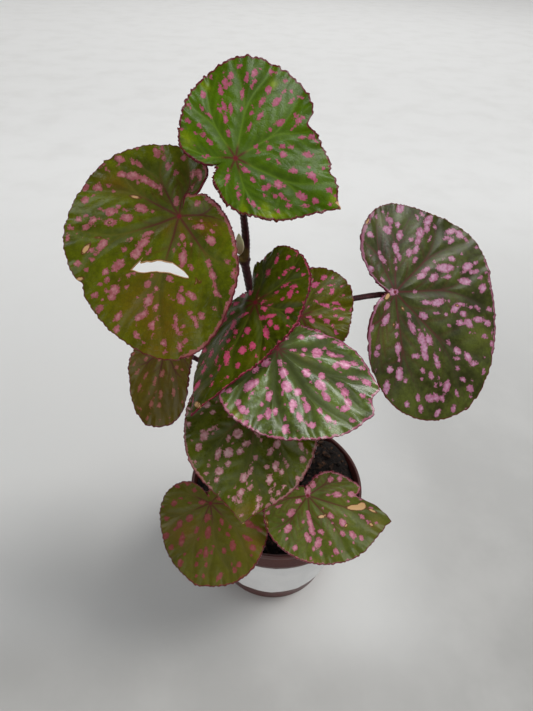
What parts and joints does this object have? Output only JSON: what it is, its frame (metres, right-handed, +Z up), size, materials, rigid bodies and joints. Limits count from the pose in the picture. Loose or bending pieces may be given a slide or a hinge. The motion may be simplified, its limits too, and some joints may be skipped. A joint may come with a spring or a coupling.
{
  "type": "potted begonia",
  "caption": "Potted begonia with broad heart-shaped spotted leaves on one cane, in a round nursery pot with a blank paper label.",
  "frame": {"origin": "centre of the pot's base, on the surface that the pot stands on", "axes": "+Z up, the leaves face -Y, +X to the right when seen from -Y"},
  "size_m": [0.2262, 0.1491, 0.3483],
  "materials": {
    "pot_plastic": "thin brown moulded plastic, slightly satin",
    "label_paper": "white paper band, blank",
    "soil": "dark crumbly potting soil",
    "stem": "dark maroon stem, satin",
    "bud_green": "pale green sheath",
    "leaf": "glossy olive green blade with pink spots and dark veins"
  },
  "bodies": {
    "root": {"pot": "pot_plastic", "label": "label_paper", "soil": "soil", "cane": "stem", "bud": "bud_green", "leaf_top": "leaf", "leaf_left": "leaf", "leaf_centre": "leaf", "leaf_small_right": "leaf", "leaf_front": "leaf", "leaf_right": "leaf", "leaf_lower_centre": "leaf", "leaf_left_low": "leaf", "leaf_pot_left": "leaf", "leaf_pot_right": "leaf"}
  },
  "joints": []
}
